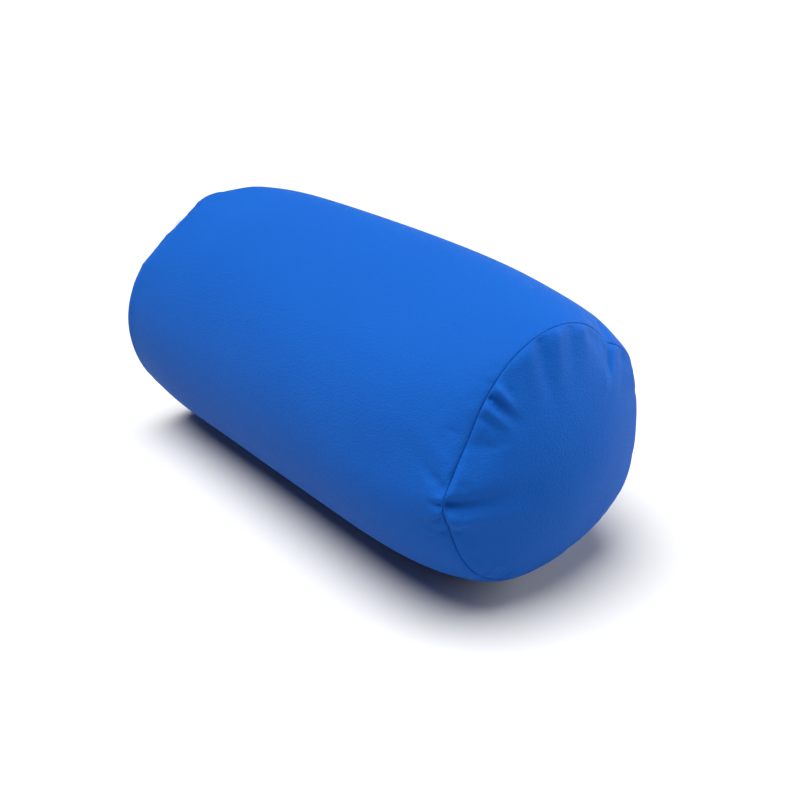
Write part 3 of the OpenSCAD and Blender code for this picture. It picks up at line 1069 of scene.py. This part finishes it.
def label_point(share, aside, lift):
    """A point of the ribbon: share of its length from the seam, aside across it, lift off its middle."""
    stand, down = label_course(share)
    stand_on, down_on = label_course(share + 0.01)
    step = np.maximum(np.hypot(stand_on - stand, down_on - down), 1e-9)
    out_lift, up_lift = lift * (down_on - down) / step, lift * (stand_on - stand) / step
    ripple = 1 - np.exp(-(aside / LABEL_RIPPLE_W) ** 2)
    down = down + LABEL_RIPPLE * ripple * (1 - np.exp(-share / LABEL_RIPPLE_START))
    stand = stand * (1 - LABEL_DROOP * ripple)
    a = LABEL_ANGLE + aside / COVER.seam_r[LEFT]
    rho = 1 - np.maximum(down, 0) / COVER.seam_r[LEFT]
    on = plain_panel(COVER, LEFT, rho, a)
    spoke = np.stack([np.zeros_like(a), np.cos(a), np.sin(a)], -1)
    up = up_lift - np.minimum(down, 0)
    return on - np.array([1.0, 0, 0]) * (stand + out_lift)[..., None] + spoke * up[..., None]


def make_label():
    """A ribbon folded in two, sewn in at the left seam: it stands out of the seam and bends down."""
    half = LABEL_STEPS // 2
    leaf = np.linspace(LABEL_ROOT, 1, half)
    share = np.concatenate([leaf, leaf[::-1]])
    side = np.repeat([1.0, -1.0], half)
    folding = np.clip((share - (1 - LABEL_FOLD)) / LABEL_FOLD, 0, 1)
    spread = np.maximum(LABEL_BEND * np.sqrt(1 - folding ** 2), LABEL_LEAST_BEND)
    aside = np.linspace(-0.5, 0.5, LABEL_ACROSS) * LABEL_W
    grid_share, grid_aside = np.broadcast_arrays(share[:, None], aside[None, :])
    surfaces = []
    for lift, reach in ((LABEL_T / 2, 1.0), (-LABEL_T / 2, 1 - LABEL_T / LABEL_L)):
        offset = np.broadcast_to((side * (spread + lift))[:, None], grid_share.shape)
        surfaces.append(label_point(grid_share * reach, grid_aside, offset))
    rows = np.concatenate([surfaces[0], surfaces[1][:, ::-1]], 1)
    count = rows.shape[1]
    faces = grid_faces(len(rows), count).tolist()
    faces += [[k + 1, k, count - 1 - k, count - 2 - k] for k in range(LABEL_ACROSS - 1)]
    last = (len(rows) - 1) * count
    faces += [[last + k, last + k + 1, last + count - 2 - k, last + count - 1 - k]
              for k in range(LABEL_ACROSS - 1)]
    label = new_mesh("soft_care_label", rows, [face[::-1] for face in faces])
    finished(label, "care_label", slot="label_satin", material=SATIN)


BLUE_THREAD = thread_material("blue_thread", (0.012, 0.11, 0.50, 1))
WHITE_THREAD = thread_material("white_thread", (0.70, 0.70, 0.66, 1))
LINER_CLOTH = woven_material("liner_cloth", (0.80, 0.80, 0.77, 1), 0.8 * MM, 0.75)
SATIN = woven_material("label_satin", (0.76, 0.77, 0.80, 1), 0.3 * MM, 0.38)
BEADS = bead_material()
make_liner()
make_fill()
make_threads()
make_label()

# ---------------------------------------------------------------- floor and light
FLOOR_SIZE = 24.0
FLOOR_GREYS = (0.585, 0.605)


def floor_material():
    material, tree = new_material("studio_floor")
    place = node(tree, "ShaderNodeTexCoord").outputs["Object"]
    mottle = node(tree, "ShaderNodeTexNoise", Vector=place, Scale=3.0, Detail=2.0)
    ramp = node(tree, "ShaderNodeMapRange", Value=mottle.outputs["Fac"], To_Min=FLOOR_GREYS[0],
                To_Max=FLOOR_GREYS[1])
    colour = node(tree, "ShaderNodeCombineColor", Red=ramp.outputs[0], Green=ramp.outputs[0],
                  Blue=ramp.outputs[0])
    surface_output(tree, node(tree, "ShaderNodeBsdfDiffuse", Color=colour.outputs[0]))
    return material


def make_floor():
    h = FLOOR_SIZE / 2
    corners = np.array([[-h, -h, 0], [h, -h, 0], [h, h, 0], [-h, h, 0]])
    floor = new_mesh("studio_floor", corners, [[0, 1, 2, 3]])
    floor.data.materials.append(floor_material())


def sun_light(name, azimuth, elevation, strength, spread):
    """A far soft light: azimuth 0 is over -Y and 90 over +X, in degrees, as is the spread."""
    data = bpy.data.lights.new(name, "SUN")
    data.energy, data.angle = strength, math.radians(spread)
    light = bpy.data.objects.new(name, data)
    a, e = math.radians(azimuth), math.radians(elevation)
    back = Vector((math.sin(a) * math.cos(e), -math.cos(a) * math.cos(e), math.sin(e)))
    light.rotation_euler = back.to_track_quat("Z", "Y").to_euler()
    bpy.context.scene.collection.objects.link(light)


def make_world(strength):
    world = bpy.data.worlds.new("studio")
    world.use_nodes = True
    background = world.node_tree.nodes["Background"]
    background.inputs["Color"].default_value = (1, 1, 1, 1)
    background.inputs["Strength"].default_value = strength
    bpy.context.scene.world = world


make_floor()
make_world(strength=0.08)
sun_light("key", azimuth=0, elevation=77, strength=5.35, spread=44)
sun_light("side", azimuth=163, elevation=14, strength=2.9, spread=40)
bpy.context.scene.view_settings.view_transform = "Standard"
